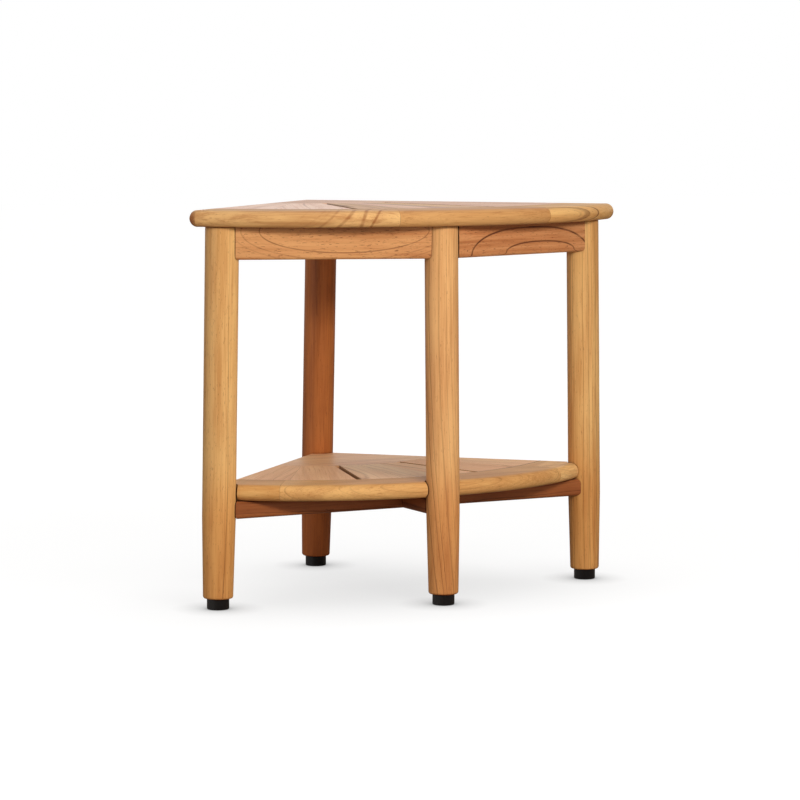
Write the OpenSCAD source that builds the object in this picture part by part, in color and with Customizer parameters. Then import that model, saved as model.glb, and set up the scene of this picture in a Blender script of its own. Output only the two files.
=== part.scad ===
// Corner stool in teak: a quarter-round slatted seat and a slatted shelf on four round legs.
// Millimetres. +Z is up, the floor is z = 0, and the wall corner points to +Y.
// Left and right are as seen from the curved front.

/* [Overall] */
// Height of the seat's top over the floor
stool_h = 448.5; // [380:0.5:520]

/* [Seat] */
// Length of each straight side, from the wall corner to the curved front
seat_side = 394.5; // [370:0.5:430]
// Thickness of the seat's boards, whose outer edges are fully rounded
seat_t = 18.5; // [16:0.5:22]
// Radius in plan of the seat's three corners
tip_r = 14; // [10.5:0.5:16]
// Radius of the corner block's curved front, about the wall corner
seat_block_r = 145; // [130:1:160]
// Width of the curved front rail
seat_rail_w = 62; // [52:1:70]

/* [Shelf] */
// Height of the shelf's top over the floor
shelf_h = 140.3; // [125:0.1:200]
// Thickness of the shelf's boards
shelf_t = 18.3; // [16:0.1:22]
// How far the shelf's wall corner stands back from the seat's wall corner
shelf_back = 29.8; // [24:0.1:36]
// How far the shelf's curved front lies inside the seat's, both about the seat's wall corner
shelf_front_in = 28.5; // [26:0.5:31]
// Radius of the corner block's curved front, about the shelf's wall corner
shelf_block_r = 152; // [140:1:165]
// Width of the shelf's curved front rail
shelf_rail_w = 52; // [44:1:58]
// Gap round the legs where the shelf is notched for them
notch_gap = 1.6; // [0.6:0.1:2]

/* [Boards] */
// Half angle of the middle board
middle_angle = 5; // [4:0.5:6]
// Angle of the drain slots from the middle
slot_angle = 15.6; // [13:0.1:18]
// Angle of the outer joint from the middle
outer_angle = 31.5; // [29:0.5:34]
// Width of a drain slot
slot_w = 6.5; // [5:0.5:8]
// Hairline gap of every glued joint
joint_gap = 0.2; // [0.1:0.05:0.3]
// Thickness of the tongues and of the loose splines
tongue_t = 6; // [5:0.5:7]
// Length of a tongue
tongue_l = 8; // [6:0.5:10]
// Clearance of a tongue, spline or tenon in its groove, per face
tongue_fit = 0.1; // [0.05:0.05:0.2]
// Angles of the joints in the seat's front rail, from the middle
seat_rail_joints = [-10, 20];
// Angles of the joints in the shelf's front rail, from the middle
shelf_rail_joints = [-32.5, 32.5];
// Length of a loose spline across a rail joint
spline_l = 24; // [20:1:30]
// Width of a loose spline
spline_w = 14; // [10:1:16]

/* [Legs] */
// Diameter of a leg
leg_d = 38; // [34:0.5:40]
// Diameter at the foot of the taper
leg_end_d = 34.2; // [31:0.2:36]
// Height at which the taper starts
taper_h = 104; // [80:1:120]
// Radius of the eased lower edge
leg_ease = 3; // [1:0.5:4]
// Radius of the eased upper edge
leg_top_ease = 2; // [0.5:0.5:3]
// Back leg's axis at the top, from each wall side of the seat
back_inset = 37.3; // [34:0.1:42]
// Side legs' axis at the top, from the wall side of the seat
wall_inset = 30.2; // [27:0.1:34]
// Side legs' axis at the top, from the end of the seat's straight side
tip_inset = 33.2; // [28:0.1:38]
// Front leg's axis at the top, from the seat's curved front
front_inset = 37.7; // [32:0.1:42]
// Outward lean of the side legs, in degrees
side_lean = 0.94; // [0:0.02:2]
// Outward lean of the front leg, in degrees
front_lean = 1.12; // [0:0.02:2]
// Outward lean of the back leg, in degrees
back_lean = 2.2; // [0:0.05:3]

/* [Aprons and stretchers] */
// Height of the aprons under the seat
apron_h = 37; // [30:0.5:45]
// Thickness of an apron
apron_t = 20; // [18:0.5:22]
// Apron's outer face, out from the line through the leg axes
apron_face = 15; // [13:0.1:16.5]
// Radius of the aprons' lower edges
apron_ease = 4; // [1:0.5:6]
// Width of a stretcher
stretcher_w = 30; // [24:0.5:31]
// Height of a stretcher
stretcher_h = 20.2; // [18:0.2:24]
// Radius of the stretchers' edges
stretcher_ease = 5; // [2:0.5:6]
// Gap between a shoulder and the round leg
shoulder_gap = 1.2; // [0.4:0.1:1.6]
// Thickness of an apron's tenon
tenon_t = 8; // [6:0.5:9]
// Height of an apron's tenon
tenon_h = 24; // [18:0.5:26]
// Distance of a tenon's end from the leg's axis
tenon_end = 7.5; // [7:0.1:10]
// Width of a stretcher's tenon
cross_tenon_w = 16; // [12:0.5:18]
// Height of a stretcher's tenon
cross_tenon_h = 12; // [9:0.5:14]

/* [Screws] */
// Diameter of the screws' shanks
screw_d = 4; // [3.5:0.1:4.5]
// Diameter of the screws' heads
screw_head_d = 8; // [7:0.5:9]
// Height of the screws' heads
screw_head_h = 3; // [2:0.2:3.6]
// Diameter of the counterbores
counterbore_d = 10; // [9.5:0.5:11]
// Depth of the aprons' counterbores
apron_bore = 15; // [12:1:18]
// Depth of the stretchers' counterbores
stretcher_bore = 6; // [4:0.5:8]
// How far a screw reaches into the seat or the shelf
screw_bite = 12; // [10:0.5:13]
// Radial clearance of a shank in its hole
screw_fit = 0.05; // [0.03:0.01:0.1]

/* [Feet] */
// Diameter of a foot pad
pad_d = 25.2; // [22:0.2:30]
// Height of the leg's end over the floor with the foot fully in
foot_h = 12.5; // [10:0.5:15]
// Gap between the leg's end and the pad with the foot fully in
pad_gap = 0.3; // [0.2:0.1:0.5]
// Radius of the pad's lower edge
pad_ease = 1; // [0.5:0.1:1.5]
// Thickness of the pad under the screw's disc
pad_floor = 3.5; // [2.5:0.1:4]
// Diameter of the foot screw
foot_screw_d = 8; // [6:1:8]
// Length of the foot screw over the pad
foot_screw_l = 25; // [22:1:30]
// Diameter of the disc moulded into the pad
disc_d = 16; // [14:0.5:18]
// Thickness of that disc
disc_t = 3; // [2:0.5:3.5]
// Clearance round the disc
disc_gap = 0.3; // [0.2:0.1:0.4]
// Outer diameter of the threaded insert
insert_d = 12; // [11:0.5:13]
// Length of the threaded insert
insert_l = 15; // [12:1:18]
// Radial clearance of the foot screw in the insert and in the pad
thread_fit = 0.06; // [0.02:0.01:0.09]

/* [Hidden] */
$fn = 96;

// Numbers of the legs in every list below
LEFT = 0;
FRONT = 1;
RIGHT = 2;
BACK = 3;

// Heights
seat_under = stool_h - seat_t;
shelf_under = shelf_h - shelf_t;
apron_low = seat_under - apron_h;
stretcher_low = shelf_under - stretcher_h;
apron_mid = seat_under - apron_h / 2;
stretcher_mid = shelf_under - stretcher_h / 2;
// Underside of the disc on the foot screw
disc_low = pad_floor + disc_gap;

// How far a rounded corner stands out past the edges it joins, so that it crosses them cleanly
tip_over = 0.3;
// The wall corner's place, which centres the seat's outline on the origin
corner_loss = tip_r * (sqrt(2) - 1) - tip_over;
seat_corner = (seat_side + corner_loss) / 2;
shelf_corner = seat_corner - shelf_back;
// Radii of the front rails' edges, all about the seat's wall corner
seat_rail_r = seat_side - seat_rail_w;
shelf_front_r = seat_side - shelf_front_in;
shelf_rail_r = shelf_front_r - shelf_rail_w;

// Angles of the board edges from the middle, left to right
board_angles = [-45, -outer_angle, -slot_angle, -middle_angle,
                middle_angle, slot_angle, outer_angle, 45];
// Grooves stop this far from the wall sides, and tongues a little further
groove_stop = 14;
tongue_stop = 15;
// Spare depth of a groove, a mortise or a screw hole past what goes in
spare = 0.5;
// Reach of a cutting shape past what it cuts
past = 1;
// Size of a cutting shape that covers the whole stool
far = 2 * seat_side;

// Leg axes at the seat's underside, their lean and the way they lean
leg_tops = [
    [(wall_inset - seat_side + tip_inset) / sqrt(2),
     seat_corner - (wall_inset + seat_side - tip_inset) / sqrt(2)],
    [0, seat_corner - seat_side + front_inset],
    [-(wall_inset - seat_side + tip_inset) / sqrt(2),
     seat_corner - (wall_inset + seat_side - tip_inset) / sqrt(2)],
    [0, seat_corner - back_inset * sqrt(2)],
];
leg_leans = [side_lean, front_lean, side_lean, back_lean];
leg_ways = [180, -90, 0, 90];

// How far a leg's turned outline reaches past its cut end
leg_over = leg_ease / 4;
// Height down to which the legs' round shape cuts their neighbours
round_low = taper_h / 2;
// Distance of a stretcher tenon's end from the leg's axis
cross_tenon_end = tenon_end / 2;
// How far an insert lies inside the leg's end
insert_sink = spare / 2;

// A leg's axis at height z
function leg_at(leg, z) = leg_tops[leg]
    + (seat_under - z) * tan(leg_leans[leg]) * [cos(leg_ways[leg]), sin(leg_ways[leg])];

// Foot axes stand upright under the legs' ends
function foot_at(leg) = leg_at(leg, foot_h);

// Aprons by number: the legs they join, the outer face being on the right hand going from the first
APRON_LEGS = [[LEFT, FRONT], [FRONT, RIGHT], [BACK, LEFT], [RIGHT, BACK]];
// Places of the seat screws along each apron, as shares of its length
APRON_SCREWS = [[0.20, 0.82], [0.18, 0.80], [0.38, 0.70], [0.30, 0.62]];

function apron_from(n) = leg_at(APRON_LEGS[n][0], apron_mid);
function apron_to(n) = leg_at(APRON_LEGS[n][1], apron_mid);
function apron_run(n) = apron_to(n) - apron_from(n);
function apron_angle(n) = atan2(apron_run(n)[1], apron_run(n)[0]);
function apron_length(n) = norm(apron_run(n));
// Middle of an apron's thickness, out from the leg line
apron_out = apron_face - apron_t / 2;
function apron_point(n, share) = apron_from(n) + share * apron_run(n)
    + apron_out * [sin(apron_angle(n)), -cos(apron_angle(n))];

SEAT_SCREWS = [for (k = [0 : len(APRON_LEGS) - 1]) for (share = APRON_SCREWS[k])
    apron_point(k, share)];

// Stretcher ends and the places of the shelf screws
across_y = leg_at(LEFT, stretcher_mid)[1];
across_half = leg_at(RIGHT, stretcher_mid)[0];
run_front = leg_at(FRONT, stretcher_mid)[1];
run_back = leg_at(BACK, stretcher_mid)[1];
// Depth of the shelf's wall corner behind the stretcher across
corner_to_across = shelf_corner - across_y;
// Distance of the rail's screws from the tongues' ends
rail_screw_in = 6;
rail_screw_r = shelf_rail_r + tongue_l + rail_screw_in;
rail_screw_x = sqrt(pow(rail_screw_r, 2) - pow(seat_corner - across_y, 2));
board_screw_x = corner_to_across * tan((slot_angle + outer_angle) / 2);
// Place of the corner block's screw, as a share of the block's radius
block_screw_share = 2 / 3;
block_screw_y = shelf_corner - shelf_block_r * block_screw_share;
middle_screw_y = shelf_corner - (shelf_block_r + corner_to_across) / 2;
front_screw_y = seat_corner - rail_screw_r;
SHELF_SCREWS = [
    [-rail_screw_x, across_y], [-board_screw_x, across_y],
    [board_screw_x, across_y], [rail_screw_x, across_y],
    [0, block_screw_y], [0, middle_screw_y], [0, front_screw_y],
];

teak = "#c08552";
light_teak = "#d19a58";
red_teak = "#b87b50";

// Outline shapes

// The part of the plan between two angles from the middle, each edge drawn in by its own amount
module fan(from, to, in_from = 0, in_to = 0) {
    intersection() {
        rotate(from - 90) translate([0, in_from]) square([far, far]);
        rotate(to - 90) translate([0, -far - in_to]) square([far, far]);
    }
}

module ring(r_in, r_out) {
    difference() {
        circle(r_out, $fn = 360);
        circle(r_in, $fn = 360);
    }
}

// Disc whose rim is fully rounded, lying on z = 0
module rim_disc(r, t) {
    edge = t / 2;
    rotate_extrude($fn = 360) {
        square([r - edge, t]);
        translate([r - edge, edge]) circle(edge, $fn = 48);
    }
}

// Slab whose one edge, fully rounded, lies along a wall: -1 for the left wall, 1 for the right
module wall_slab(way, t) {
    edge = t / 2;
    rotate(-90 + 45 * way) rotate([90, 0, 90]) translate([0, 0, -far]) linear_extrude(2 * far)
        mirror([way < 0 ? 0 : 1, 0]) {
            translate([edge, 0]) square([far, t]);
            translate([edge, edge]) circle(edge, $fn = 48);
        }
}

// What rounds a corner where two rounded edges meet square, the corner at the origin and its
// edges along +X and +Y
module corner_cutter(t) {
    edge = t / 2;
    difference() {
        translate([-past, -past, -past]) cube([tip_r + past, tip_r + past, t + 2 * past]);
        translate([tip_r, tip_r, 0]) rotate_extrude() intersection() {
            union() {
                translate([0, -tip_over]) square([tip_r - edge, t + 2 * tip_over]);
                translate([tip_r - edge, edge]) circle(edge + tip_over, $fn = 48);
            }
            translate([0, -past]) square([2 * tip_r, t + 2 * past]);
        }
    }
}

// Upright prism over a plan
module over(t) {
    translate([0, 0, -past]) linear_extrude(t + 2 * past) children();
}

// Tongue or groove band across the thickness of a plate
module band(t, thick) {
    translate([0, 0, (t - thick) / 2]) linear_extrude(thick) children();
}

// Groove that takes the boards' tongues, between two arcs whose centre stands back by an amount
module groove(t, r_in, r_out, back) {
    band(t, tongue_t + 2 * tongue_fit) intersection() {
        translate([0, back]) ring(r_in, r_out);
        fan(-45, 45, groove_stop, groove_stop);
    }
}

// Corner block between the walls, rounded along both of them
module corner_block(t, block_r) {
    difference() {
        intersection() {
            wall_slab(-1, t);
            wall_slab(1, t);
            translate([0, 0, -past]) cylinder(r = block_r, h = t + 2 * past, $fn = 360);
        }
        groove(t, block_r - tongue_l - spare, block_r + past, 0);
    }
}

// One radial board, with a tongue at each end; the rail's arc has its centre back from the corner
module board(n, t, block_r, rail_r, back) {
    first = n == 1;
    last = n == len(board_angles) - 1;
    from = board_angles[n - 1];
    to = board_angles[n];
    in_from = abs(from) == slot_angle ? slot_w / 2 : joint_gap / 2;
    in_to = abs(to) == slot_angle ? slot_w / 2 : joint_gap / 2;
    intersection() {
        linear_extrude(t) difference() {
            intersection() {
                translate([0, back]) circle(rail_r - joint_gap, $fn = 360);
                fan(from, to, first ? -past : in_from, last ? -past : in_to);
            }
            circle(block_r + joint_gap, $fn = 360);
        }
        if (first) wall_slab(-1, t);
        if (last) wall_slab(1, t);
    }
    band(t, tongue_t) difference() {
        intersection() {
            translate([0, back]) circle(rail_r + tongue_l, $fn = 360);
            fan(from, to, first ? tongue_stop : in_from, last ? tongue_stop : in_to);
        }
        circle(block_r - tongue_l, $fn = 360);
    }
}

// Distance from the corner, at an angle, to an arc whose centre stands back from the corner
function reach_at(angle, r, back) = sqrt(pow(r, 2) - pow(back * sin(angle), 2)) - back * cos(angle);

// Loose spline across the rail joint at an angle, grown by a clearance
module spline(angle, r, t, rail_w, back, grow) {
    mid = reach_at(angle, r - (rail_w - tongue_l) / 2, back);
    rotate(angle - 90) translate([mid - spline_w / 2 - grow, -spline_l / 2 - grow,
                                  (t - tongue_t) / 2 - grow])
        cube([spline_w + 2 * grow, spline_l + 2 * grow, tongue_t + 2 * grow]);
}

// One length of the curved front rail, between two of its joints
module rail(from, to, r, t, rail_w, joints, back) {
    first = from == -45;
    last = to == 45;
    difference() {
        intersection() {
            translate([0, back, 0]) rim_disc(r, t);
            over(t) intersection() {
                translate([0, back]) ring(r - rail_w, r + past);
                fan(from, to, first ? -past : joint_gap / 2, last ? -past : joint_gap / 2);
            }
            if (first) wall_slab(-1, t);
            if (last) wall_slab(1, t);
        }
        groove(t, r - rail_w - past, r - rail_w + tongue_l + spare, back);
        for (angle = joints) if (angle == from || angle == to)
            spline(angle, r, t, rail_w, back, tongue_fit);
    }
}

// Stands a plate's pieces at their place in the seat or the shelf
module in_seat() {
    translate([0, seat_corner, seat_under]) children();
}

module in_shelf() {
    translate([0, shelf_corner, shelf_under]) children();
}

// A screw's angle about a corner, and half of the angle that it is given there
function turn_of(place, corner) = atan2(place[0], corner - place[1]);
function half_turn(place, corner) = asin(screw_d / norm(place - [0, corner]));
// True where a screw stands between two angles about a corner, or touches one of them
function stands_in(place, corner, from, to) =
    turn_of(place, corner) + half_turn(place, corner) > from
    && turn_of(place, corner) - half_turn(place, corner) < to;

// Seat

module seat_holes(from, to) {
    for (place = SEAT_SCREWS) if (stands_in(place, seat_corner, from, to))
        translate([place[0], place[1], apron_low]) screw_hole(apron_bore, apron_h);
}

module seat_corner_block() {
    color(teak) difference() {
        in_seat() corner_block(seat_t, seat_block_r);
        in_seat() rotate(-135) corner_cutter(seat_t);
        seat_holes(-45, 45);
    }
}

module seat_board(n) {
    color(n % 2 == 0 ? light_teak : teak) difference() {
        in_seat() board(n, seat_t, seat_block_r, seat_rail_r, 0);
        seat_holes(board_angles[n - 1], board_angles[n]);
    }
}

module seat_rail(from, to) {
    color(light_teak) difference() {
        in_seat() rail(from, to, seat_side, seat_t, seat_rail_w, seat_rail_joints, 0);
        if (from == -45) in_seat() rotate(-135) translate([seat_side, 0, 0])
            rotate(90) corner_cutter(seat_t);
        if (to == 45) in_seat() rotate(-45) translate([seat_side, 0, 0])
            rotate(180) corner_cutter(seat_t);
        seat_holes(from, to);
    }
}

module seat_rail_splines() {
    color(teak) in_seat() for (angle = seat_rail_joints)
        spline(angle, seat_side, seat_t, seat_rail_w, 0, 0);
}

// Shelf

module shelf_holes(from, to) {
    for (place = SHELF_SCREWS) if (stands_in(place, shelf_corner, from, to))
        translate([place[0], place[1], stretcher_low]) screw_hole(stretcher_bore, stretcher_h);
}

module shelf_corner_block() {
    color(teak) difference() {
        in_shelf() corner_block(shelf_t, shelf_block_r);
        leg_round(BACK, notch_gap);
        shelf_holes(-45, 45);
    }
}

module shelf_board(n) {
    color(n == 4 ? light_teak : teak) difference() {
        in_shelf() board(n, shelf_t, shelf_block_r, shelf_rail_r, shelf_back);
        shelf_holes(board_angles[n - 1], board_angles[n]);
    }
}

module shelf_rail(from, to) {
    color(light_teak) difference() {
        in_shelf() rail(from, to, shelf_front_r, shelf_t, shelf_rail_w, shelf_rail_joints,
                        shelf_back);
        if (from == -45) leg_round(LEFT, notch_gap);
        if (from < 0 && to > 0) leg_round(FRONT, notch_gap);
        if (to == 45) leg_round(RIGHT, notch_gap);
        shelf_holes(from, to);
    }
}

module shelf_rail_splines() {
    color(teak) in_shelf() for (angle = shelf_rail_joints)
        spline(angle, shelf_front_r, shelf_t, shelf_rail_w, shelf_back, 0);
}

// Legs

// A leg's turned outline, leaning out and a little longer than the leg at both ends
module leg_shape(leg) {
    r_end = leg_end_d / 2;
    drop = seat_under - foot_h + leg_over;
    easing = [for (turn = [0 : 15 : 90])
        [r_end - leg_ease * (1 - cos(turn)), leg_ease * (1 - sin(turn)) - drop]];
    top_easing = [for (turn = [0 : 30 : 90])
        [leg_d / 2 - leg_top_ease * (1 - sin(turn)), -leg_top_ease * (1 - cos(turn))]];
    translate([leg_tops[leg][0], leg_tops[leg][1], seat_under])
        rotate(leg_ways[leg]) rotate([0, -leg_leans[leg], 0]) rotate_extrude()
        polygon(concat([[0, past], [leg_d / 2 - leg_top_ease, past]], top_easing,
                       [[leg_d / 2, taper_h - seat_under]], easing, [[0, -drop]]));
}

// The round upper part of a leg, grown by a clearance: what aprons and shelf are cut round
module leg_round(leg, grow) {
    translate([leg_tops[leg][0], leg_tops[leg][1], seat_under]) rotate(leg_ways[leg])
        rotate([0, 180 - leg_leans[leg], 0]) translate([0, 0, -past])
        cylinder(r = leg_d / 2 + grow, h = seat_under - round_low);
}

module leg(n) {
    foot = foot_at(n);
    color(light_teak) difference() {
        intersection() {
            leg_shape(n);
            translate([-far / 2, -far / 2, foot_h]) cube([far, far, seat_under - foot_h]);
        }
        for (k = [0 : len(APRON_LEGS) - 1])
            for (end = [0, 1]) if (APRON_LEGS[k][end] == n) apron_tenon(k, end, tongue_fit);
        if (n == LEFT || n == RIGHT) across_tenon(n, tongue_fit);
        if (n == FRONT || n == BACK) run_tenon(n, tongue_fit);
        translate([foot[0], foot[1], foot_h - past])
            cylinder(d = insert_d + 2 * screw_fit, h = insert_l + spare + past);
        translate([foot[0], foot[1], foot_h - past])
            cylinder(d = foot_screw_d + past, h = foot_screw_l + 2 * past);
    }
}

// Aprons

// Tenon at the first (0) or second (1) end of an apron, grown by a clearance
module apron_tenon(k, end, grow = 0) {
    length = apron_length(k);
    reach = leg_d / 2 + past - tenon_end + grow * spare / tongue_fit;
    start = end == 0 ? tenon_end - grow * spare / tongue_fit : length - leg_d / 2 - past;
    translate([apron_from(k)[0], apron_from(k)[1], apron_mid]) rotate(apron_angle(k))
        translate([start, -apron_out - tenon_t / 2 - grow, -tenon_h / 2 - grow])
            cube([reach, tenon_t + 2 * grow, tenon_h + 2 * grow]);
}

module apron(k) {
    length = apron_length(k);
    color(red_teak) difference() {
        union() {
            difference() {
                translate([apron_from(k)[0], apron_from(k)[1], apron_low])
                    rotate(apron_angle(k)) translate([0, -apron_face, 0])
                    rotate([90, 0, 90]) linear_extrude(length) eased_board(apron_t, apron_h);
                for (end = [0, 1]) leg_round(APRON_LEGS[k][end], shoulder_gap);
            }
            apron_tenon(k, 0);
            apron_tenon(k, 1);
        }
        for (share = APRON_SCREWS[k])
            translate([apron_point(k, share)[0], apron_point(k, share)[1], apron_low])
                screw_hole(apron_bore, apron_h);
    }
}

// Section of an apron: square above, with rounded lower edges
module eased_board(w, h) {
    translate([0, apron_ease]) square([w, h - apron_ease]);
    translate([apron_ease, 0]) square([w - 2 * apron_ease, apron_ease + past]);
    for (x = [apron_ease, w - apron_ease]) translate([x, apron_ease]) circle(apron_ease, $fn = 48);
}

// Stretchers

module eased_bar(w, h) {
    translate([-w / 2, stretcher_ease]) square([w, h - 2 * stretcher_ease]);
    translate([stretcher_ease - w / 2, 0]) square([w - 2 * stretcher_ease, h]);
    for (x = [stretcher_ease - w / 2, w / 2 - stretcher_ease])
        for (y = [stretcher_ease, h - stretcher_ease]) translate([x, y]) circle(stretcher_ease, $fn = 48);
}

module across_tenon(leg, grow = 0) {
    way = leg == LEFT ? -1 : 1;
    x_in = across_half - leg_d / 2 - past;
    x_out = across_half - cross_tenon_end + grow * spare / tongue_fit;
    translate([way < 0 ? -x_out : x_in, across_y - cross_tenon_w / 2 - grow,
               stretcher_mid - cross_tenon_h / 2 - grow])
        cube([x_out - x_in, cross_tenon_w + 2 * grow, cross_tenon_h + 2 * grow]);
}

module run_tenon(leg, grow = 0) {
    way = leg == FRONT ? -1 : 1;
    axis = leg == FRONT ? run_front : run_back;
    inner = leg_d / 2 + past;
    outer = cross_tenon_end - grow * spare / tongue_fit;
    y_low = way < 0 ? axis + outer : axis - inner;
    translate([-cross_tenon_w / 2 - grow, y_low, stretcher_mid - cross_tenon_h / 2 - grow])
        cube([cross_tenon_w + 2 * grow, inner - outer, cross_tenon_h + 2 * grow]);
}

// The halved crossing: what each stretcher loses there
module lap(over) {
    size = stretcher_w + 2 * tongue_fit;
    low = over ? stretcher_low - past : stretcher_mid - tongue_fit / 2;
    high = over ? stretcher_mid + tongue_fit / 2 : shelf_under + past;
    translate([-size / 2, across_y - size / 2, low]) cube([size, size, high - low]);
}

module stretcher_across() {
    color(red_teak) difference() {
        union() {
            difference() {
                translate([-across_half, across_y, stretcher_low]) rotate([90, 0, 90])
                    linear_extrude(2 * across_half) eased_bar(stretcher_w, stretcher_h);
                for (leg = [LEFT, RIGHT]) leg_round(leg, shoulder_gap);
            }
            across_tenon(LEFT);
            across_tenon(RIGHT);
        }
        lap(false);
        for (k = [0 : 3]) translate([SHELF_SCREWS[k][0], SHELF_SCREWS[k][1], stretcher_low])
            screw_hole(stretcher_bore, stretcher_h);
    }
}

module stretcher_front_back() {
    color(red_teak) difference() {
        union() {
            difference() {
                translate([0, run_back, stretcher_low]) rotate([90, 0, 0])
                    linear_extrude(run_back - run_front) eased_bar(stretcher_w, stretcher_h);
                for (leg = [FRONT, BACK]) leg_round(leg, shoulder_gap);
            }
            run_tenon(FRONT);
            run_tenon(BACK);
        }
        lap(true);
        for (k = [4 : 6]) translate([SHELF_SCREWS[k][0], SHELF_SCREWS[k][1], stretcher_low])
            screw_hole(stretcher_bore, stretcher_h);
    }
}

// Screws

// A wood screw pointing up, its head resting on top of a counterbore that starts at z = 0
module screw(bore, through) {
    translate([0, 0, bore - screw_head_h]) cylinder(d = screw_head_d, h = screw_head_h);
    translate([0, 0, bore - past]) cylinder(d = screw_d, h = through - bore + screw_bite + past);
}

// The same screw's hole, with its counterbore
module screw_hole(bore, through) {
    translate([0, 0, -past]) cylinder(d = counterbore_d, h = bore + past);
    cylinder(d = screw_d + 2 * screw_fit, h = through + screw_bite + spare);
}

module at_seat_screws() {
    for (place = SEAT_SCREWS) translate([place[0], place[1], apron_low]) children();
}

module at_shelf_screws() {
    for (place = SHELF_SCREWS) translate([place[0], place[1], stretcher_low]) children();
}

module seat_screws() {
    color("silver") at_seat_screws() screw(apron_bore, apron_h);
}

module shelf_screws() {
    color("silver") at_shelf_screws() screw(stretcher_bore, stretcher_h);
}

// Feet

module threaded_inserts() {
    color("goldenrod") for (leg = [LEFT, FRONT, RIGHT, BACK])
        translate([foot_at(leg)[0], foot_at(leg)[1], foot_h + insert_sink]) difference() {
            cylinder(d = insert_d, h = insert_l);
            translate([0, 0, -past])
                cylinder(d = foot_screw_d + 2 * thread_fit, h = insert_l + 2 * past);
        }
}

module foot_screw(leg) {
    color("silver") translate([foot_at(leg)[0], foot_at(leg)[1], disc_low]) {
        cylinder(d = disc_d, h = disc_t);
        cylinder(d = foot_screw_d, h = foot_h - disc_low + foot_screw_l);
    }
}

module foot_pad(leg) {
    pad_r = pad_d / 2;
    pad_h = foot_h - pad_gap;
    color("#232126") translate([foot_at(leg)[0], foot_at(leg)[1], 0]) difference() {
        rotate_extrude() {
            translate([0, pad_ease]) square([pad_r, pad_h - 2 * pad_ease]);
            square([pad_r - pad_ease, pad_h]);
            for (y = [pad_ease, pad_h - pad_ease]) translate([pad_r - pad_ease, y])
                circle(pad_ease, $fn = 48);
        }
        translate([0, 0, pad_floor])
            cylinder(d = disc_d + 2 * disc_gap, h = disc_t + 2 * disc_gap);
        translate([0, 0, pad_floor]) cylinder(d = foot_screw_d + 2 * thread_fit, h = pad_h);
    }
}

seat_corner_block();
seat_board(1);  // seat_board_1
seat_board(2);  // seat_board_2
seat_board(3);  // seat_board_3
seat_board(4);  // seat_board_4
seat_board(5);  // seat_board_5
seat_board(6);  // seat_board_6
seat_board(7);  // seat_board_7
seat_rail(-45, seat_rail_joints[0]);  // seat_rail_left
seat_rail(seat_rail_joints[0], seat_rail_joints[1]);  // seat_rail_middle
seat_rail(seat_rail_joints[1], 45);  // seat_rail_right
seat_rail_splines();
shelf_corner_block();
shelf_board(1);  // shelf_board_1
shelf_board(2);  // shelf_board_2
shelf_board(3);  // shelf_board_3
shelf_board(4);  // shelf_board_4
shelf_board(5);  // shelf_board_5
shelf_board(6);  // shelf_board_6
shelf_board(7);  // shelf_board_7
shelf_rail(-45, shelf_rail_joints[0]);  // shelf_rail_left
shelf_rail(shelf_rail_joints[0], shelf_rail_joints[1]);  // shelf_rail_middle
shelf_rail(shelf_rail_joints[1], 45);  // shelf_rail_right
shelf_rail_splines();
leg(LEFT);  // leg_left
leg(FRONT);  // leg_front
leg(RIGHT);  // leg_right
leg(BACK);  // leg_back
apron(0);  // apron_front_left
apron(1);  // apron_front_right
apron(2);  // apron_wall_left
apron(3);  // apron_wall_right
stretcher_across();
stretcher_front_back();
seat_screws();
shelf_screws();
threaded_inserts();
foot_screw(LEFT);  // foot_screw_left
foot_screw(FRONT);  // foot_screw_front
foot_screw(RIGHT);  // foot_screw_right
foot_screw(BACK);  // foot_screw_back
foot_pad(LEFT);  // foot_pad_left
foot_pad(FRONT);  // foot_pad_front
foot_pad(RIGHT);  // foot_pad_right
foot_pad(BACK);  // foot_pad_back
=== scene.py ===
"""Teak corner stool: materials, light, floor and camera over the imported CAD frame."""
import math

import bpy
from mathutils import Matrix, Vector


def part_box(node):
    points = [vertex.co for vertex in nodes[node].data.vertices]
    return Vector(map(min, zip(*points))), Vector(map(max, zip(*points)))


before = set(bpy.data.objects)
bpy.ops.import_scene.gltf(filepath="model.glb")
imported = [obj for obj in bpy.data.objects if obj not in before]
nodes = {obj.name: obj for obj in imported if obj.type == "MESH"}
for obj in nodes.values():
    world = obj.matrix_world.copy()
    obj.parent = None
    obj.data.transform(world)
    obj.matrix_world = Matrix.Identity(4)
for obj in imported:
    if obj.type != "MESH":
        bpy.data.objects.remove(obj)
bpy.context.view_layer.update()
MM = 0.001
MM_PER_M = 1000.0


def srgb(r, g, b):
    """Linear colour of an sRGB triple from 0 to 255."""
    return tuple((c / 255 / 12.92) if c / 255 <= 0.04045 else ((c / 255 + 0.055) / 1.055) ** 2.4
                 for c in (r, g, b)) + (1.0,)


# Camera, fitted to the photo: its place and axes are in the row frame, in metres

FOCAL_PX = 3019.2
SENSOR_MM = 36.0
PHOTO_PX = 800.0
CAMERA_AT = Vector((-1.62913, -3.14365, 0.56982))
CAMERA_RIGHT = Vector((0.8843877, -0.46674921, 0.00189071))
CAMERA_UP = Vector((0.0444225, 0.0882019, 0.995112))
CLIP_END = 50

camera_data = bpy.data.cameras.new("camera")
camera_data.sensor_width = SENSOR_MM
camera_data.lens = FOCAL_PX / PHOTO_PX * SENSOR_MM
camera_data.clip_end = CLIP_END
camera = bpy.data.objects.new("camera", camera_data)
bpy.context.scene.collection.objects.link(camera)
right = CAMERA_RIGHT.normalized()
up = (CAMERA_UP - CAMERA_UP.dot(right) * right).normalized()
back = right.cross(up)
turn = Matrix((right, up, back)).transposed().to_4x4()
camera.matrix_world = Matrix.Translation(CAMERA_AT) @ turn
bpy.context.scene.camera = camera


# Node trees

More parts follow.
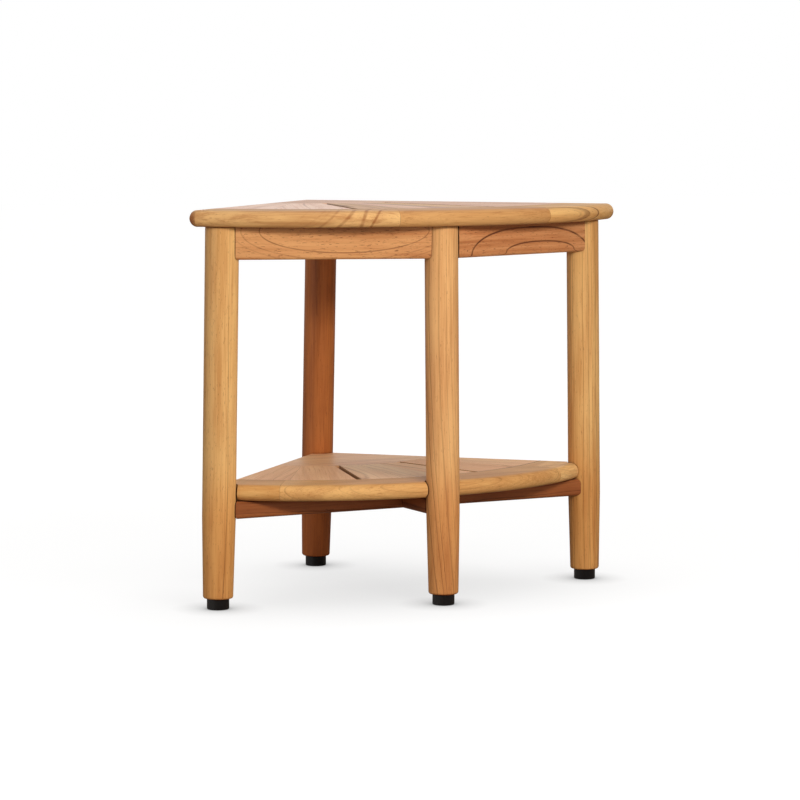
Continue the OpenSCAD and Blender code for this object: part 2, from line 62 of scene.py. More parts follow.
# A mix node has a set of sockets for each type of data. These are the ones for colours
MIX_FACTOR, MIX_A, MIX_B, MIX_RESULT = 0, 6, 7, 2


class Graph:
    """Short names for building a node tree. A value is a number, a tuple or another node's
    output, which is then linked."""

    def __init__(self, tree):
        self.tree = tree

    def node(self, kind, inputs=None, **settings):
        n = self.tree.nodes.new(kind)
        for key, value in settings.items():
            setattr(n, key, value)
        for key, value in (inputs or {}).items():
            if hasattr(value, "is_output"):
                self.tree.links.new(value, n.inputs[key])
            else:
                n.inputs[key].default_value = value
        return n

    def math(self, operation, a, b=None, c=None, clamp=False):
        inputs = {0: a}
        if b is not None:
            inputs[1] = b
        if c is not None:
            inputs[2] = c
        return self.node("ShaderNodeMath", inputs, operation=operation, use_clamp=clamp).outputs[0]

    def smooth(self, value, low, high, to_low=0.0, to_high=1.0):
        """Eases from to_low at low to to_high at high. low may be the larger of the two."""
        return self.node("ShaderNodeMapRange", {"Value": value, "From Min": low, "From Max": high,
                                                "To Min": to_low, "To Max": to_high},
                         interpolation_type="SMOOTHSTEP").outputs["Result"]

    def mix(self, factor, a, b, blend="MIX"):
        return self.node("ShaderNodeMix", {MIX_FACTOR: factor, MIX_A: a, MIX_B: b},
                         data_type="RGBA", blend_type=blend).outputs[MIX_RESULT]

    def noise(self, vector, scale, detail=2.0, roughness=0.5, distortion=0.0, dimensions="3D"):
        n = self.node("ShaderNodeTexNoise", {"Scale": scale, "Detail": detail,
                                             "Roughness": roughness, "Distortion": distortion},
                      noise_dimensions=dimensions)
        key = "W" if dimensions == "1D" else "Vector"
        self.tree.links.new(vector, n.inputs[key])
        return n.outputs["Fac"]

    def stretch(self, vector, x, y, z):
        return self.node("ShaderNodeVectorMath", {0: vector, 1: (x, y, z)},
                         operation="MULTIPLY").outputs[0]

    def along(self, vector, axis):
        return self.node("ShaderNodeVectorMath", {0: vector, 1: tuple(axis)},
                         operation="DOT_PRODUCT").outputs["Value"]


def new_material(name):
    """An empty material and the graph that fills it."""
    material = bpy.data.materials.new(name)
    material.use_nodes = True
    material.node_tree.nodes.clear()
    return material, Graph(material.node_tree)


# Wood

# Layers of noise in the wood: the share of their scale that is left along the grain, then the
# scale per millimetre, the detail, the roughness, and the distortion where there is one
BROKEN_LINES = 0.05, 0.11, 2.0, 0.5
WORN_MARKS = 0.3, 0.13, 2.0, 0.5
FIBRE = 0.03, 0.62, 5.0, 0.66
STREAK = 0.035, 0.16, 3.0, 0.6, 0.3
PORE = 0.12, 1.25, 2.0, 0.55
TONE = 0.3, 0.016, 2.0, 0.5
BROAD = 0.10, 0.055, 2.0, 0.5
# The rings wander with two layers, which share the first of those figures
WANDER_ALONG = 0.22
DRIFT = 0.021, 2.0, 0.5
RIPPLE = 0.09, 3.0, 0.55
# What a seed shifts the layers by on each axis, and the choice of the rings that are dark
SEED_SHIFT = 613.0, 271.0, 97.0
SEED_CHANCE = 7.0
# How quickly good and bad years for growth take turns, and how many rings they shift
YEARS_RUN = 0.55
YEARS_DIFFER = 1.5
# From the middle of a ring's dark line, in millimetres: where it ends and where it is full
LINE_FADE = 0.75, 0.2
# The flattest that a ring may lie to a face, so that a mark's line stays finite
LEAST_STEEP = 0.06
# How squarely a face looks along the grain where it starts to be a cut end, and where it is one
END_FACING = 0.34, 0.82
# What a cut end multiplies the wood's colour by, and the painted shade on the lower part of a leg
END_GRAIN = (0.66, 0.45, 0.38, 1.0)
LOWER_LEG_SHADE = (0.90, 0.75, 0.62, 1.0)
# Metres above the height of a leg's painted shade where it starts, and below that height where it
# is full
LEG_SHADE_FADE = 0.05, 0.03
# How much of the line colour a joint takes on, and how much a gap takes on as painted shade
JOINT_DARK = 0.75
GAP_SHADE = 0.88
AO_SAMPLES = 6
# The surface's relief: how far fibres stand out, and lines and pores lie back
FIBRE_RELIEF = 0.35
LINE_RELIEF = -0.35
PORE_RELIEF = -0.9
BUMP_STRENGTH = 0.35
BUMP_MM = 0.15


def teak(name, place, grain, across, pith, tones, ring=5.0, bow=0.0, bow_at=0.0, flat_bow=0.0,
         wave=3.0, lines=1.0, seed=0.0, figure=0.5, gloss=0.46, specular=0.35, pores=0.42, marks=(),
         joint=None, painted_shade_below=None, gap=(7, 0.64, 0.14)):
    """Teak cut from a log. place is the piece's own origin and grain its fibre direction, in the
    row frame; across is the direction that the piece's second axis follows. The log's pith lies
    pith = (y, z) millimetres from place. tones are light, middle, dark and line colours. ring is
    the width of a year's growth, bow curves the rings along the grain about bow_at, so that they
    close into loops, flat_bow does so with the fourth power, which gives flatter loops, and wave
    is how far they wander, all in millimetres. Each of marks is a ring that stands out: its
    radius, width and bow_at in millimetres and its strength; with a flat_bow, the width is that
    of the line on a face along the third axis. A joint is an edge that the wood darkens along: a
    centre in the row frame, and a radius and width in millimetres. Below the height given for a
    leg's painted shade, in metres, the wood is painted darker and browner. gap is how wide in
    millimetres a gap may be to get painted shade, and the open shares of the view at which that
    painted shade starts and ends."""
    light, mid, dark, line = tones
    x_axis = Vector(grain).normalized()
    z_axis = x_axis.cross(Vector(across)).normalized()
    y_axis = z_axis.cross(x_axis)
    material, g = new_material(name)

    coordinates = g.node("ShaderNodeTexCoord")
    here = g.node("ShaderNodeVectorMath", {0: coordinates.outputs["Object"], 1: tuple(place)},
                  operation="SUBTRACT").outputs[0]
    x, y, z = (g.math("MULTIPLY", g.along(here, axis), MM_PER_M)
               for axis in (x_axis, y_axis, z_axis))
    grain_space = g.node("ShaderNodeCombineXYZ", {
        slot: g.math("ADD", value, seed * shift)
        for slot, (value, shift) in enumerate(zip((x, y, z), SEED_SHIFT))}).outputs[0]

    def layer(along_share, *noise):
        return g.noise(g.stretch(grain_space, along_share, 1.0, 1.0), *noise)

    # Growth rings round the pith
    slow = g.stretch(grain_space, WANDER_ALONG, 1.0, 1.0)
    drift = g.math("MULTIPLY_ADD", g.noise(slow, *DRIFT), 2 * wave, -wave)
    ripple = g.math("MULTIPLY_ADD", g.noise(slow, *RIPPLE), 0.4 * wave, -0.2 * wave)
    wander = g.math("ADD", drift, ripple)
    z_off = g.math("SUBTRACT", z, pith[1])
    from_pith = g.node("ShaderNodeCombineXYZ", {0: 0.0, 1: g.math("SUBTRACT", y, pith[0]),
                                                2: z_off}).outputs[0]
    radius = g.node("ShaderNodeVectorMath", {0: from_pith}, operation="LENGTH").outputs["Value"]

    def grown_at(middle_at):
        """The radius that the wood at a point grew at, where the rings bow about middle_at."""
        offset = g.math("SUBTRACT", x, middle_at)
        square = g.math("MULTIPLY", offset, offset)
        bowed = g.math("MULTIPLY_ADD", square, g.math("MULTIPLY_ADD", square, flat_bow, bow),
                       radius)
        return g.math("ADD", bowed, wander)

    def steepness(middle_at):
        """How steeply those rings meet a face along the third axis."""
        offset = g.math("SUBTRACT", x, middle_at)
        square = g.math("MULTIPLY", offset, offset)
        slope = g.math("MULTIPLY", offset, g.math("MULTIPLY_ADD", square, 4 * flat_bow, 2 * bow))
        steep = g.math("ADD", g.math("POWER", g.math("DIVIDE", z_off, radius), 2.0),
                       g.math("MULTIPLY", slope, slope))
        return g.math("MAXIMUM", g.math("SQRT", steep), LEAST_STEEP)

    phase = g.math("DIVIDE", grown_at(bow_at), ring)
    good_years = g.noise(g.math("MULTIPLY_ADD", phase, YEARS_RUN, seed), 1.0, 1.0, 0.5,
                         dimensions="1D")
    uneven = g.math("MULTIPLY_ADD", good_years, YEARS_DIFFER, phase)
    year = g.math("FLOOR", uneven)
    part = g.math("SUBTRACT", uneven, year)
    chance = g.node("ShaderNodeTexWhiteNoise", {"W": g.math("ADD", year, seed * SEED_CHANCE)},
                    noise_dimensions="1D").outputs["Value"]
    # A ring's dark line is a good millimetre wide, and a softer shade leads up to it
    core = g.smooth(g.math("MULTIPLY", g.math("MINIMUM", part, g.math("SUBTRACT", 1.0, part)),
                           ring), *LINE_FADE)
    shade = g.math("POWER", part, 3.0)
    strength = g.smooth(chance, 0.25, 0.95, 0.06, 1.0)
    broken = g.smooth(layer(*BROKEN_LINES), 0.3, 0.62, 0.35, 1.0)
    ring_line = g.math("MULTIPLY", g.math("MULTIPLY", core, g.math("MULTIPLY", strength, broken)),
                       lines, clamp=True)
    ring_shade = g.math("MULTIPLY", g.math("MULTIPLY", shade, strength), 0.75 * lines, clamp=True)
    if marks:
        worn = g.smooth(layer(*WORN_MARKS), 0.3, 0.6, 0.6, 1.0)
    for at, width, middle_at, amount in marks:
        away = g.math("ABSOLUTE", g.math("SUBTRACT", grown_at(middle_at), at))
        if flat_bow:
            away = g.math("DIVIDE", away, steepness(middle_at))
        mark = g.math("MULTIPLY", g.smooth(away, width / 2, width * 0.1, 0.0, amount), worn)
        ring_line = g.math("MAXIMUM", ring_line, mark)

    # Fibres, pores, which crowd where a ring is dark, and slow changes of tone
    fibre = layer(*FIBRE)
    streak = layer(*STREAK)
    pore_noise = layer(*PORE)
    pore_limit = g.math("MULTIPLY_ADD", ring_shade, -0.06, 0.70 - 0.11 * pores)
    pore = g.smooth(g.math("SUBTRACT", pore_noise, pore_limit), 0.0, 0.05)
    tone = layer(*TONE)
    broad = layer(*BROAD)

    # Each layer sets in from one noise level to the other, and covers a share with its tone
    base = g.mix(g.smooth(tone, 0.35, 0.65), mid, light)
    for noise, start, full, share, colour in ((broad, 0.45, 0.72, figure, dark),
                                              (streak, 0.45, 0.72, 0.85 * figure, dark),
                                              (streak, 0.48, 0.30, 0.6 * figure, light),
                                              (fibre, 0.50, 0.74, 0.70, dark),
                                              (fibre, 0.50, 0.28, 0.50, light)):
        base = g.mix(g.math("MULTIPLY", g.smooth(noise, start, full), share), base, colour)
    for cover, share, colour in ((ring_shade, 0.65, dark), (ring_line, 0.88, line),
                                 (pore, pores, line)):
        base = g.mix(g.math("MULTIPLY", cover, share), base, colour)

    # Cut ends are redder, darker and duller
    facing = g.along(coordinates.outputs["Normal"], x_axis)
    end = g.smooth(g.math("ABSOLUTE", facing), *END_FACING)
    base = g.mix(end, base, END_GRAIN, "MULTIPLY")

    # Painted shade: a leg is painted darker and browner towards the floor, where less light falls
    # on it
    if painted_shade_below:
        height = g.node("ShaderNodeSeparateXYZ", {0: coordinates.outputs["Object"]}).outputs[2]
        lower = g.smooth(height, painted_shade_below + LEG_SHADE_FADE[0], painted_shade_below - LEG_SHADE_FADE[1])
        base = g.mix(lower, base, LOWER_LEG_SHADE, "MULTIPLY")
    if joint:
        centre, reach, joint_width = joint
        spoke = g.node("ShaderNodeVectorMath", {0: coordinates.outputs["Object"],
                                                1: (centre.x, centre.y, 0)},
                       operation="SUBTRACT").outputs[0]
        spoke = g.node("ShaderNodeVectorMath", {0: g.stretch(spoke, MM_PER_M, MM_PER_M, 0.0)},
                       operation="LENGTH").outputs["Value"]
        close = g.smooth(g.math("ABSOLUTE", g.math("SUBTRACT", spoke, reach)), joint_width,
                         joint_width * 0.3)
        base = g.mix(g.math("MULTIPLY", close, JOINT_DARK), base, line)
    # Painted shade: the narrow gaps between pieces are painted darker, where little light reaches
    # in
    open_share = g.node("ShaderNodeAmbientOcclusion", {"Distance": gap[0] * MM},
                        samples=AO_SAMPLES).outputs["AO"]
    base = g.mix(g.smooth(open_share, gap[1], gap[2], 0.0, GAP_SHADE), base, line)

    rough = g.math("MULTIPLY_ADD", fibre, 0.16, gloss - 0.06)
    rough = g.math("MULTIPLY_ADD", end, 0.18, rough)
    rough = g.math("MULTIPLY_ADD", ring_line, 0.08, rough, clamp=True)
    relief = g.math("MULTIPLY_ADD", fibre, FIBRE_RELIEF,
                    g.math("MULTIPLY", ring_line, LINE_RELIEF))
    relief = g.math("MULTIPLY_ADD", pore, PORE_RELIEF, relief)
    bump = g.node("ShaderNodeBump", {"Strength": BUMP_STRENGTH, "Distance": BUMP_MM * MM,
                                     "Height": relief})
    shader = g.node("ShaderNodeBsdfPrincipled", {"Base Color": base, "Roughness": rough,
                                                 "IOR": 1.46, "Specular IOR Level": specular,
                                                 "Normal": bump.outputs[0]})
    g.node("ShaderNodeOutputMaterial", {"Surface": shader.outputs[0]})
    return material


def dress(node, material):
    """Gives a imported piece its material, in every slot."""
    slots = nodes[node].data.materials
    if not slots:
        slots.append(material)
    for n in range(len(slots)):
        slots[n] = material


# Tones: light, middle, dark and line
YELLOW = srgb(232, 184, 118), srgb(216, 164, 100), srgb(190, 128, 70), srgb(108, 58, 30)
HONEY = srgb(226, 176, 112), srgb(208, 154, 94), srgb(178, 118, 66), srgb(104, 56, 30)
AMBER = srgb(208, 158, 100), srgb(191, 137, 83), srgb(163, 107, 60), srgb(102, 54, 28)
# A paler copy of the yellow tones, as painted light: the shelf rail's right length, which faces
# away from the key, takes it
LEMON = srgb(240, 194, 130), srgb(226, 174, 110), srgb(198, 136, 78), srgb(112, 60, 32)
GOLD = srgb(224, 178, 118), srgb(205, 156, 100), srgb(174, 118, 70), srgb(136, 72, 34)
BISCUIT = srgb(218, 162, 106), srgb(202, 142, 90), srgb(172, 108, 62), srgb(92, 44, 26)
TAN = srgb(226, 174, 114), srgb(210, 154, 98), srgb(182, 120, 70), srgb(104, 54, 30)
ROSE = srgb(216, 156, 104), srgb(196, 130, 82), srgb(164, 98, 56), srgb(70, 28, 16)
PINK = srgb(238, 190, 154), srgb(222, 168, 132), srgb(190, 132, 98), srgb(110, 62, 42)
PEACH = srgb(252, 206, 158), srgb(242, 188, 140), srgb(216, 156, 110), srgb(120, 66, 40)
# A paler copy of the peach tones, as painted light: the shelf's middle boards take it to offset the
# shade of the seat and the front leg
CREAM = srgb(255, 220, 178), srgb(249, 204, 160), srgb(224, 172, 128), srgb(124, 70, 44)
BLUSH = srgb(255, 220, 196), srgb(250, 204, 178), srgb(222, 168, 138), srgb(118, 68, 48)
BROWN = srgb(166, 98, 54), srgb(148, 82, 44), srgb(122, 64, 33), srgb(60, 28, 18)
CHESTNUT = srgb(194, 118, 62), srgb(177, 103, 51), srgb(146, 80, 39), srgb(78, 40, 22)


def middle(node):
    """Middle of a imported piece's box."""
    low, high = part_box(node)
    return (low + high) / 2


# How wide a gap gets painted shade, and at which open shares of the view: the drain slots and the
# strip under the seat's rail are wider than a joint
BOARD_GAP = 9, 0.92, 0.45
APRON_GAP = 14, 0.74, 0.22
BOARD_ANGLES = (-45, -31.5, -15.6, -5, 5, 15.6, 31.5, 45)
SEAT_CORNER = Vector((0, 0.2, 0.43925))
SHELF_CORNER = Vector((0, 0.1702, 0.13115))


def radial(angle):
    """Level direction away from the corner, at an angle in degrees from straight ahead."""
    return Vector((math.sin(math.radians(angle)), -math.cos(math.radians(angle)), 0))


def tangent(angle):
    """Level direction square to radial(angle), to the right."""
    return Vector((math.cos(math.radians(angle)), math.sin(math.radians(angle)), 0))


# The seat and the shelf are a corner block and seven boards that run out to the front rail.
# joint_r is the radius about the seat's corner where they meet it and joint_w the width of the
# dark line there, in millimetres
TOPS = {
    "seat": {"corner": SEAT_CORNER, "joint_r": 332.5, "joint_w": (1.1,) * 7, "seed": 1.0,
             "tones": (BLUSH, BLUSH, HONEY, PINK, HONEY, PINK, PINK), "block_tones": PINK,
             "lines": (0.4, 0.4, 0.75, 0.75, 0.75, 0.75, 0.75), "figure": 0.6, "gloss": 0.40,
             "specular": 0.5},
    # The shelf's two middle boards take the paler cream tones: painted light against the shade
    # there
    "shelf": {"corner": SHELF_CORNER, "joint_r": 314.0, "joint_w": (1.1,) * 4 + (3.2,) * 3,
              "seed": 21.0, "tones": (PEACH, PEACH, CREAM, CREAM, PEACH, PEACH, PEACH),
              "block_tones": PEACH, "lines": (0.4,) * 7, "figure": 0.35, "gloss": 0.50,
              "specular": 0.10},
}
# Metres from the corner to where a board's or a block's grain is measured from. The boards' logs
# differ by formulas, so that no two boards look alike
BOARD_PLACE = 0.24
BLOCK_PLACE = 0.08
for name, top in TOPS.items():
    for n, (tones, lines, joint_w) in enumerate(zip(top["tones"], top["lines"], top["joint_w"]),
                                                start=1):
        angle = (BOARD_ANGLES[n - 1] + BOARD_ANGLES[n]) / 2
        dress(f"{name}_board_{n}", teak(
            f"{name}_board_{n}_teak", top["corner"] + radial(angle) * BOARD_PLACE, radial(angle),
            tangent(angle), pith=((-1) ** n * (6 + 3 * n), -34 - 5 * (n % 3)), tones=tones,
            ring=4.2 + (n * 2 % 5) * 0.5, bow=(2.2e-4, -1.8e-4, 1.2e-4)[n % 3],
            bow_at=20 * (n % 3) - 25, wave=2.5, lines=lines, seed=top["seed"] + n * 1.37,
            figure=top["figure"], gloss=top["gloss"], specular=top["specular"],
            joint=(SEAT_CORNER, top["joint_r"], joint_w), gap=BOARD_GAP))
    dress(f"{name}_corner_block", teak(
        f"{name}_block_teak", top["corner"] + radial(0) * BLOCK_PLACE, (1, 0, 0), (0, 1, 0),
        pith=(25, -40), tones=top["block_tones"], bow=1.5e-4, lines=0.7, seed=top["seed"] + 0.4,
        figure=0.55, gloss=0.40, specular=top["specular"]))

# Each length of a front rail: the angle of its grain, and its look
RAILS = {
    "seat_rail_left": (-27.5, dict(
        tones=GOLD, pith=(20, 70), ring=6.0, bow=-4.5e-3, bow_at=-56, lines=0.14, figure=0.8,
        seed=41.0, marks=((29.1, 5.0, -56, 0.45), (11.3, 7.5, -56, 0.65),
                          (-431.8, 19.0, -256, 0.7), (-92.3, 8.0, -99, 0.85)))),
    "seat_rail_middle": (5, dict(
        tones=AMBER, pith=(38, -34), ring=5.5, bow=1.0e-4, bow_at=15, lines=0.3, figure=0.35,
        seed=42.9)),
    "seat_rail_right": (22, dict(
        tones=YELLOW, pith=(-60, 0), ring=4.0, lines=0.25, figure=0.5, seed=44.8,
        marks=((89.6, 3.8, 0, 0.6), (88.9, 1.0, 0, 0.85), (83.7, 1.8, 0, 0.85)))),
    "shelf_rail_left": (-38.75, dict(
        tones=YELLOW, pith=(20, 60), ring=5.0, bow=-2.0e-3, bow_at=-20, lines=0.4, figure=0.5,
        seed=61.0)),
    "shelf_rail_middle": (0, dict(
        tones=HONEY, pith=(38, -34), ring=5.5, bow=1.0e-4, bow_at=15, lines=0.35, figure=0.4,
        seed=62.9)),
    # The right length takes the paler lemon tones: painted light for the less light that falls on
    # it
    "shelf_rail_right": (38.75, dict(
        tones=LEMON, pith=(20, 60), ring=5.0, bow=-3.0e-3, bow_at=10, lines=0.5, figure=0.5,
        seed=64.8)),
}
# The corner that each rail bends about, the radius of its place, and its specular level
RAIL_PLACE = {"seat": (SEAT_CORNER, 0.36, 0.25), "shelf": (SHELF_CORNER, 0.315, 0.12)}
for name, (angle, look) in RAILS.items():
    corner, reach, specular = RAIL_PLACE[name.split("_")[0]]
    dress(name, teak(name + "_teak", corner + radial(angle) * reach, tangent(angle),
                     radial(angle), wave=1.6, specular=specular, **look))

joinery = teak("joinery_teak", (0, 0, 0), (1, 0, 0), (0, 1, 0), pith=(20, -40), tones=TAN,
               seed=80.0)
dress("seat_rail_splines", joinery)
dress("shelf_rail_splines", joinery)

# In metres: the heights of a leg's ends, its radius, and where its painted shade starts, which
# darkens and browns it towards the floor
SEAT_UNDER = 0.430
FOOT_H = 0.0125
LEG_R = 0.019
LEG_SHADE_BELOW = 0.13


def leg_head(side):
    """Middle of a leg's upper end, to a tenth of a millimetre. The legs spread towards the floor,
    so each leg's box ends at its head on the side that faces the stool's middle."""
    low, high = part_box(f"leg_{side}")
    head = middle(f"foot_screw_{side}")
    head.z = SEAT_UNDER
    if side in ("left", "right"):
        head.x = high.x - LEG_R if side == "left" else low.x + LEG_R
    else:
        head.y = high.y - LEG_R if side == "front" else low.y + LEG_R
    return head


LEGS = {
    "left": dict(tones=YELLOW, pith=(30, 26), ring=6.5, bow=1.2e-5, pores=0.5, seed=91.0,
                 marks=((61.5, 1.6, 0, 0.3),)),
    "front": dict(tones=TAN, pith=(38, -22), ring=7.0, bow=1.6e-4, bow_at=110, seed=93.3,
                  marks=((42.4, 0.8, 110, 0.45), (32.6, 0.8, 110, 0.5),
                         (28.4, 0.8, 110, 0.45))),
    "right": dict(tones=YELLOW, pith=(-34, 30), ring=5.5, bow=1.2e-5, seed=95.9,
                  marks=((52.2, 0.8, 0, 0.6), (57.3, 1.8, 0, 0.4), (60.2, 0.7, 0, 0.4),
                         (62.7, 1.4, 0, 0.4))),
    "back": dict(tones=CHESTNUT, pith=(26, 34), ring=6.0, bow=1.2e-5, seed=97.1),
}
for side, look in LEGS.items():
    head = leg_head(side)
    foot = middle(f"foot_screw_{side}")
    foot.z = FOOT_H
    dress(f"leg_{side}", teak(f"leg_{side}_teak", (head + foot) / 2, head - foot, (1, 0, 0),
                              wave=2.0, lines=0.8, figure=0.6, painted_shade_below=LEG_SHADE_BELOW, **look))

# The legs that each apron joins, and its look. The front aprons' rings close into long loops
APRONS = {
    "apron_front_left": ("left", "front", dict(
        tones=BISCUIT, pith=(15, 13.57), ring=7.0, bow=8.81e-4, bow_at=11.4, flat_bow=2.28e-8,
        lines=0.1, seed=101.0,
        marks=((34.13, 2.0, 11.4, 0.7), (40.2, 1.8, 11.4, 0.35), (44.0, 1.8, 11.4, 0.25)))),
    "apron_front_right": ("front", "right", dict(
        tones=ROSE, pith=(5, -14.95), ring=9.0, bow=7.73e-4, bow_at=13.4, flat_bow=8.69e-8,
        lines=0.12, seed=103.0, marks=((31.35, 3.2, 13.4, 1.0), (18.0, 2.6, 31.2, 0.95)))),
    "apron_wall_left": ("back", "left", dict(
        tones=ROSE, pith=(40, 12), ring=6.0, bow=1.0e-4, lines=0.8, seed=105.0)),
    "apron_wall_right": ("right", "back", dict(
        tones=ROSE, pith=(44, -8), ring=6.0, bow=-1.0e-4, bow_at=10, lines=0.8, seed=107.0)),
}
for name, (first, second, look) in APRONS.items():
    run = leg_head(second) - leg_head(first)
    inward = Vector((-run.y, run.x, 0)).normalized()
    dress(name, teak(name + "_teak", middle(name), run, inward, wave=0.8, figure=0.9, pores=0.7,
                     gap=APRON_GAP, **look))
for name, grain, across, seed in (("stretcher_across", (1, 0, 0), (0, 1, 0), 111.0),
                                  ("stretcher_front_back", (0, 1, 0), (1, 0, 0), 113.0)):
    dress(name, teak(name + "_teak", middle(name), grain, across, pith=(30, 25), tones=BROWN,
                     ring=6.0, bow=4e-5, wave=2.0, lines=0.7, seed=seed))


# Metal and plastic

# Noise per metre: scale, detail and roughness
TURNED = 30.0, 3.0, 0.6
SCUFF = 420.0, 3.0, 0.6
MOULDED = 1800.0, 3.0, 0.6
PATCH = 90.0, 3.0, 0.6
# The turned rings' noise is squeezed along the piece, and a little across it
ACROSS_SCALE = 8.0
ALONG_SCALE = 900.0


def metal(name, colour, roughness):
    """Turned metal: fine rings round the piece and small scuffs."""
    material, g = new_material(name)
    coordinates = g.node("ShaderNodeTexCoord").outputs["Object"]
    turned = g.noise(g.stretch(coordinates, ACROSS_SCALE, ACROSS_SCALE, ALONG_SCALE), *TURNED)
    scuff = g.noise(coordinates, *SCUFF)
    colour_out = g.mix(g.math("MULTIPLY", g.smooth(scuff, 0.45, 0.75), 0.35), colour,
                       tuple(c * 0.6 for c in colour[:3]) + (1.0,))
    rough = g.math("MULTIPLY_ADD", turned, 0.25, roughness - 0.12)
    bump = g.node("ShaderNodeBump", {"Strength": 0.3, "Distance": 0.05 * MM, "Height": turned})
    shader = g.node("ShaderNodeBsdfPrincipled", {"Base Color": colour_out, "Roughness": rough,
                                                 "Metallic": 1.0, "Normal": bump.outputs[0]})
    g.node("ShaderNodeOutputMaterial", {"Surface": shader.outputs[0]})
    return material


def plastic(name, colour, worn):
    """Moulded plastic with a fine grain and a paler worn tone."""
    material, g = new_material(name)
    coordinates = g.node("ShaderNodeTexCoord").outputs["Object"]
    grain = g.noise(coordinates, *MOULDED)
    patch = g.noise(coordinates, *PATCH)
    colour_out = g.mix(g.math("MULTIPLY", g.smooth(patch, 0.45, 0.8), 0.6), colour, worn)
    rough = g.math("MULTIPLY_ADD", patch, 0.22, 0.36)
    bump = g.node("ShaderNodeBump", {"Strength": 0.25, "Distance": 0.06 * MM, "Height": grain})
    shader = g.node("ShaderNodeBsdfPrincipled", {"Base Color": colour_out, "Roughness": rough,
                                                 "Normal": bump.outputs[0]})
    g.node("ShaderNodeOutputMaterial", {"Surface": shader.outputs[0]})
    return material


steel = metal("screw_steel", (0.55, 0.55, 0.57, 1.0), 0.38)
brass = metal("insert_brass", (0.72, 0.52, 0.24, 1.0), 0.36)
black = plastic("foot_black", srgb(11, 9, 11), srgb(24, 21, 25))
dress("seat_screws", steel)
dress("shelf_screws", steel)
dress("threaded_inserts", brass)
for side in LEGS:
    dress(f"foot_screw_{side}", steel)
    dress(f"foot_pad_{side}", black)


# Floor, world and lamps

def seen_ray(g):
    """1 for rays that show the background, 0 for rays that light the object or mirror in it."""
    rays = g.node("ShaderNodeLightPath")
    return g.math("MAXIMUM", rays.outputs["Is Camera Ray"], rays.outputs["Is Transmission Ray"])


WHITE = (1, 1, 1, 1)
# The floor's half width in metres, and how far it lies under the pads, so that its face and
# theirs don't share a plane
FLOOR_HALF = 12.0
FLOOR_DROP = 0.0002
floor_mesh = bpy.data.meshes.new("floor")
floor_mesh.from_pydata([(x * FLOOR_HALF, y * FLOOR_HALF, 0)
                        for x, y in ((-1, -1), (1, -1), (1, 1), (-1, 1))], [], [(0, 1, 2, 3)])
floor = bpy.data.objects.new("floor", floor_mesh)
floor.location.z = -FLOOR_DROP
bpy.context.scene.collection.objects.link(floor)

# The floor is a plain white that keeps the stool's soft shadow and, further out, meets the
# background without a horizon
# The share of light that the floor gives back, to the camera and to the stool
FLOOR_WHITE = 0.12
FLOOR_BOUNCE = 0.31
BOUNCE_WARMTH = (1.0, 0.87, 0.73, 1)
# How bright the floor looks near the stool and far from it, and the metres where that changes
LIFT_NEAR = 0.92
LIFT_FAR = 0.98
LIFT_CHANGE = 0.4, 1.5
# The shadow under the stool, with its reach in metres, and the dark line where a pad stands
SHADE = 0.34
SHADE_REACH = 0.20
CONTACT_REACH = 0.04
CONTACT_POWER = 0.7
floor_material, g = new_material("floor")
seen = seen_ray(g)
place = g.node("ShaderNodeTexCoord").outputs["Object"]
distance = g.node("ShaderNodeVectorMath", {0: place}, operation="LENGTH").outputs["Value"]
lift = g.smooth(distance, *LIFT_CHANGE, LIFT_NEAR, LIFT_FAR)
open_share = g.node("ShaderNodeAmbientOcclusion", {"Distance": SHADE_REACH}).outputs["AO"]
lift = g.math("MULTIPLY", lift, g.math("MULTIPLY_ADD", open_share, SHADE, 1 - SHADE))
contact = g.node("ShaderNodeAmbientOcclusion", {"Distance": CONTACT_REACH}).outputs["AO"]
lift = g.math("MULTIPLY", lift, g.math("POWER", contact, CONTACT_POWER))
glow = g.node("ShaderNodeEmission", {"Color": WHITE, "Strength": g.math("MULTIPLY", seen, lift)})
grey = g.math("MULTIPLY_ADD", seen, FLOOR_WHITE - FLOOR_BOUNCE, FLOOR_BOUNCE)
tint = g.mix(seen, BOUNCE_WARMTH, WHITE)
diffuse = g.node("ShaderNodeBsdfDiffuse", {"Color": g.node(
    "ShaderNodeVectorMath", {0: tint, "Scale": grey}, operation="SCALE").outputs[0]})
total = g.node("ShaderNodeAddShader", {0: diffuse.outputs[0], 1: glow.outputs[0]})
g.node("ShaderNodeOutputMaterial", {"Surface": total.outputs[0]})
floor_mesh.materials.append(floor_material)

# The room is plain and dim, with a white backdrop behind the stool that glances off its tops
WORLD_LIGHT = 0.20
WORLD_WARMTH = (1.0, 0.91, 0.79, 1)
BACKDROP = 1.0
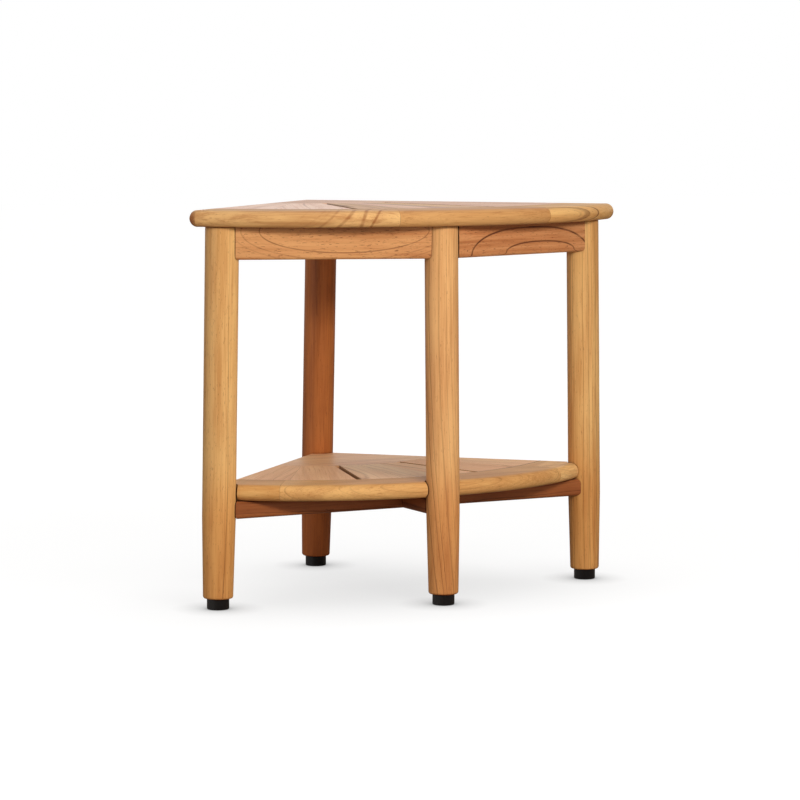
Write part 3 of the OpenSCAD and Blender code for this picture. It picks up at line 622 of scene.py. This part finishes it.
# How far back a direction points where the backdrop starts, and where it is full
BACKDROP_RISE = 0.0, 0.5
world = bpy.data.worlds.new("studio")
bpy.context.scene.world = world
world.use_nodes = True
tree = world.node_tree
tree.nodes.clear()
g = Graph(tree)
way = g.node("ShaderNodeTexCoord").outputs["Generated"]
behind = g.smooth(g.node("ShaderNodeSeparateXYZ", {0: way}).outputs["Y"], *BACKDROP_RISE)
mirrored = g.math("MULTIPLY", behind, g.node("ShaderNodeLightPath").outputs["Is Glossy Ray"])
strength = g.math("MULTIPLY_ADD", mirrored, BACKDROP - WORLD_LIGHT, WORLD_LIGHT)
seen = seen_ray(g)
white = g.math("MAXIMUM", mirrored, seen)
strength = g.math("MAXIMUM", strength, seen)
background = g.node("ShaderNodeBackground",
                    {"Color": g.mix(white, WORLD_WARMTH, WHITE), "Strength": strength})
g.node("ShaderNodeOutputWorld", {"Surface": background.outputs[0]})


def area(name, location, target, size, watts, colour=(1, 1, 1), mirrored=False):
    """An area lamp; its location, target and size, a width and a height, are in metres. Unless it
    is mirrored, it lights the wood without a glare on it, as a lamp behind a polarising filter
    does."""
    data = bpy.data.lights.new(name, "AREA")
    data.shape = "RECTANGLE"
    data.size, data.size_y = size
    data.energy = watts
    data.color = colour
    lamp = bpy.data.objects.new(name, data)
    lamp.location = location
    lamp.visible_glossy = mirrored
    lamp.rotation_euler = (Vector(target) - Vector(location)).to_track_quat("-Z", "Y").to_euler()
    bpy.context.scene.collection.objects.link(lamp)


SOFT_WHITE = (1.0, 0.985, 0.96)
# The key is a wide, low strip: the undersides of long edges throw crisp shadows, the legs soft ones
area("key", (-0.08, -1.3, 0.72), (0, -0.1, 0.27), (0.9, 0.16), 12.0, SOFT_WHITE)
area("front", (0.0, -2.5, 0.5), (0, 0, 0.3), (1.5, 1.5), 11, SOFT_WHITE)
area("left", (-2.4, -0.4, 0.9), (0, 0, 0.25), (1.2, 1.2), 12, mirrored=True)
area("top", (0.1, -0.1, 2.4), (0, 0, 0.2), (2.0, 2.0), 16, mirrored=True)
area("back", (1.1, 2.3, 0.9), (0, 0, 0.25), (1.6, 1.6), 9)

bpy.context.scene.view_settings.view_transform = "Standard"
